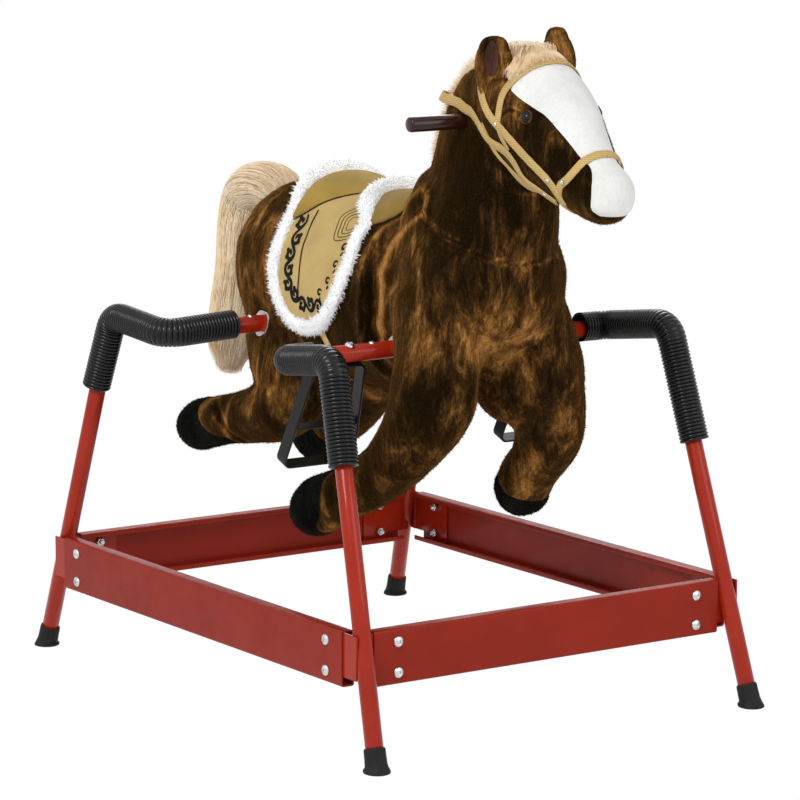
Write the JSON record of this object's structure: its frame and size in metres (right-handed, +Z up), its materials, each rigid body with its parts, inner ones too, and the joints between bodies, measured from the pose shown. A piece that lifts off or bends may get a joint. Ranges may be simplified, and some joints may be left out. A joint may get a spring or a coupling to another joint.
{
  "type": "spring rocking horse",
  "caption": "Plush riding horse hung by covered coil springs in a low steel tube stand, with saddle, handle bar and stirrups.",
  "frame": {"origin": "on the floor, under the middle of the overall length and width", "axes": "+X to the horse's nose, +Y to its left side, +Z up"},
  "size_m": [0.9128, 0.6002, 0.8579],
  "materials": {
    "red_gloss": "gloss",
    "red_satin": "satin",
    "rubber": "matte",
    "black_gloss": "gloss",
    "black_satin": "satin",
    "zinc": "satin",
    "spring_steel": "satin",
    "steel": "matte",
    "maroon_wood": "gloss",
    "brown_plush": "plush",
    "white_plush": "plush",
    "black_plush": "plush",
    "blond_fur": "long hair",
    "white_fur": "fleece",
    "tan_fabric": "matte",
    "tan_webbing": "woven"
  },
  "bodies": {
    "stand": {"leg_front_right": "red_gloss", "leg_front_left": "red_gloss", "leg_rear_right": "red_gloss", "leg_rear_left": "red_gloss", "foot_front_right": "rubber", "foot_front_left": "rubber", "foot_rear_right": "rubber", "foot_rear_left": "rubber", "rail_right": "red_satin", "rail_left": "red_satin", "rail_front": "red_satin", "rail_rear": "red_satin", "rail_bolt_right_1": "zinc", "rail_bolt_right_2": "zinc", "rail_bolt_right_3": "zinc", "rail_bolt_right_4": "zinc", "rail_bolt_left_1": "zinc", "rail_bolt_left_2": "zinc", "rail_bolt_left_3": "zinc", "rail_bolt_left_4": "zinc", "rail_bolt_front_1": "zinc", "rail_bolt_front_2": "zinc", "rail_bolt_front_3": "zinc", "rail_bolt_front_4": "zinc", "rail_bolt_rear_1": "zinc", "rail_bolt_rear_2": "zinc", "rail_bolt_rear_3": "zinc", "rail_bolt_rear_4": "zinc"},
    "springs": {"spring_front_right": "spring_steel", "spring_front_left": "spring_steel", "spring_rear_right": "spring_steel", "spring_rear_left": "spring_steel", "spring_cover_front_right": "black_gloss", "spring_cover_front_left": "black_gloss", "spring_cover_rear_right": "black_gloss", "spring_cover_rear_left": "black_gloss"},
    "horse": {"front_cross_tube": "red_gloss", "rear_cross_tube": "red_gloss", "inner_frame": "steel", "handle_bar": "maroon_wood", "stirrup_right": "black_satin", "stirrup_left": "black_satin", "stirrup_bolt_right": "zinc", "stirrup_bolt_left": "zinc", "plush_body": "brown_plush", "white_face": "white_plush", "ear_right": "brown_plush", "ear_left": "brown_plush", "eye_right": "black_gloss", "eye_left": "black_gloss", "mane": "blond_fur", "tail": "blond_fur", "hoof_front_right": "black_plush", "hoof_front_left": "black_plush", "hoof_rear_right": "black_plush", "hoof_rear_left": "black_plush", "saddle_pad": "tan_fabric", "saddle_seat": "tan_fabric", "saddle_trim": "white_fur", "bridle_straps": "tan_webbing"}
  },
  "joints": [
    {"name": "bounce", "type": "slide", "parent": "stand", "child": "springs", "axis": [0, 0, 1], "range_m": [-0.035, 0.02], "stiffness_N_per_m": 5000, "springref_m": 0.0322, "deforming": ["spring_front_right", "spring_front_left", "spring_rear_right", "spring_rear_left", "spring_cover_front_right", "spring_cover_front_left", "spring_cover_rear_right", "spring_cover_rear_left"]},
    {"name": "rock", "type": "hinge", "parent": "springs", "child": "horse", "pos_m": [-0.0397, 0, 0.455], "axis": [0, 1, 0], "range_deg": [-5, 5], "stiffness_Nm_per_rad": 110, "springref_deg": -3.52}
  ]
}
